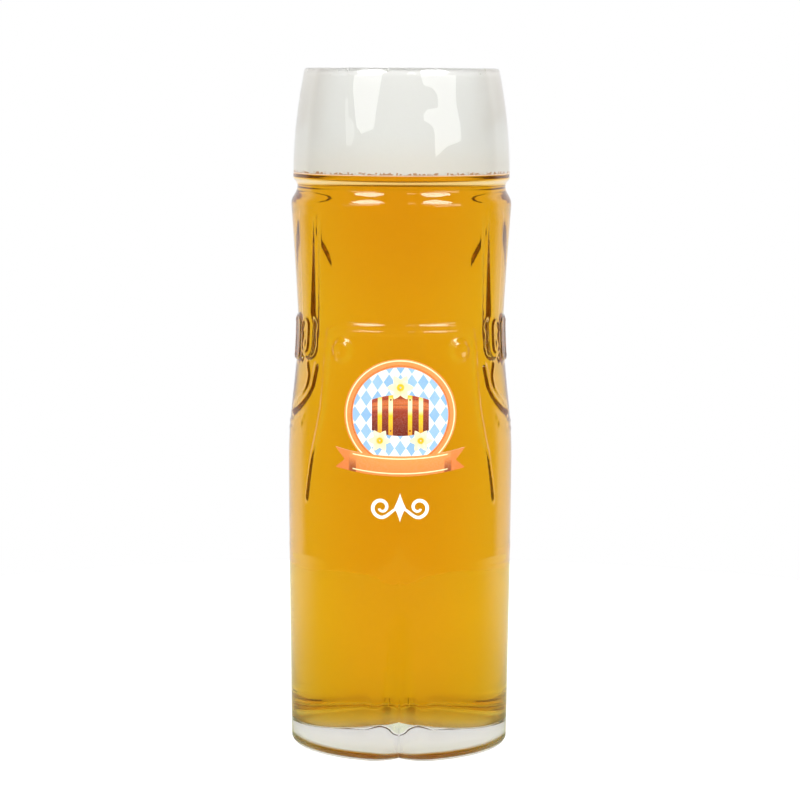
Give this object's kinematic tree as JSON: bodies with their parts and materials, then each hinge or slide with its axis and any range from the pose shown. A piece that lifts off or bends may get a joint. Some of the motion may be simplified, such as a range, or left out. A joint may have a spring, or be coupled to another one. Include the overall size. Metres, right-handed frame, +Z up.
{
  "type": "beer_glass",
  "caption": "Tall half-litre beer glass moulded as leather breeches with braces, belt and two legs, full of amber beer with a foam head and a lozenge medallion printed on the front",
  "frame": {"origin": "On the table plane, under the middle of the glass's footprint", "axes": "+Z up to the rim; the printed front faces -Y; +X is to the right as seen from the front"},
  "size_m": [0.0742, 0.0738, 0.222],
  "materials": {
    "clear_glass": "polished",
    "beer": "gloss",
    "foam": "matte",
    "white_ink": "satin",
    "blue_ink": "satin",
    "orange_ink": "satin",
    "brown_ink": "satin",
    "gold_ink": "satin",
    "cream_ink": "satin"
  },
  "bodies": {
    "root": {"glass_body": "clear_glass", "beer": "beer", "foam_head": "foam", "print_underbase": "white_ink", "print_lozenges": "blue_ink", "print_medal_rim": "orange_ink", "print_ribbon": "orange_ink", "print_barrel": "brown_ink", "print_hoops": "gold_ink", "print_flowers": "cream_ink", "print_flourish": "white_ink"}
  },
  "joints": []
}
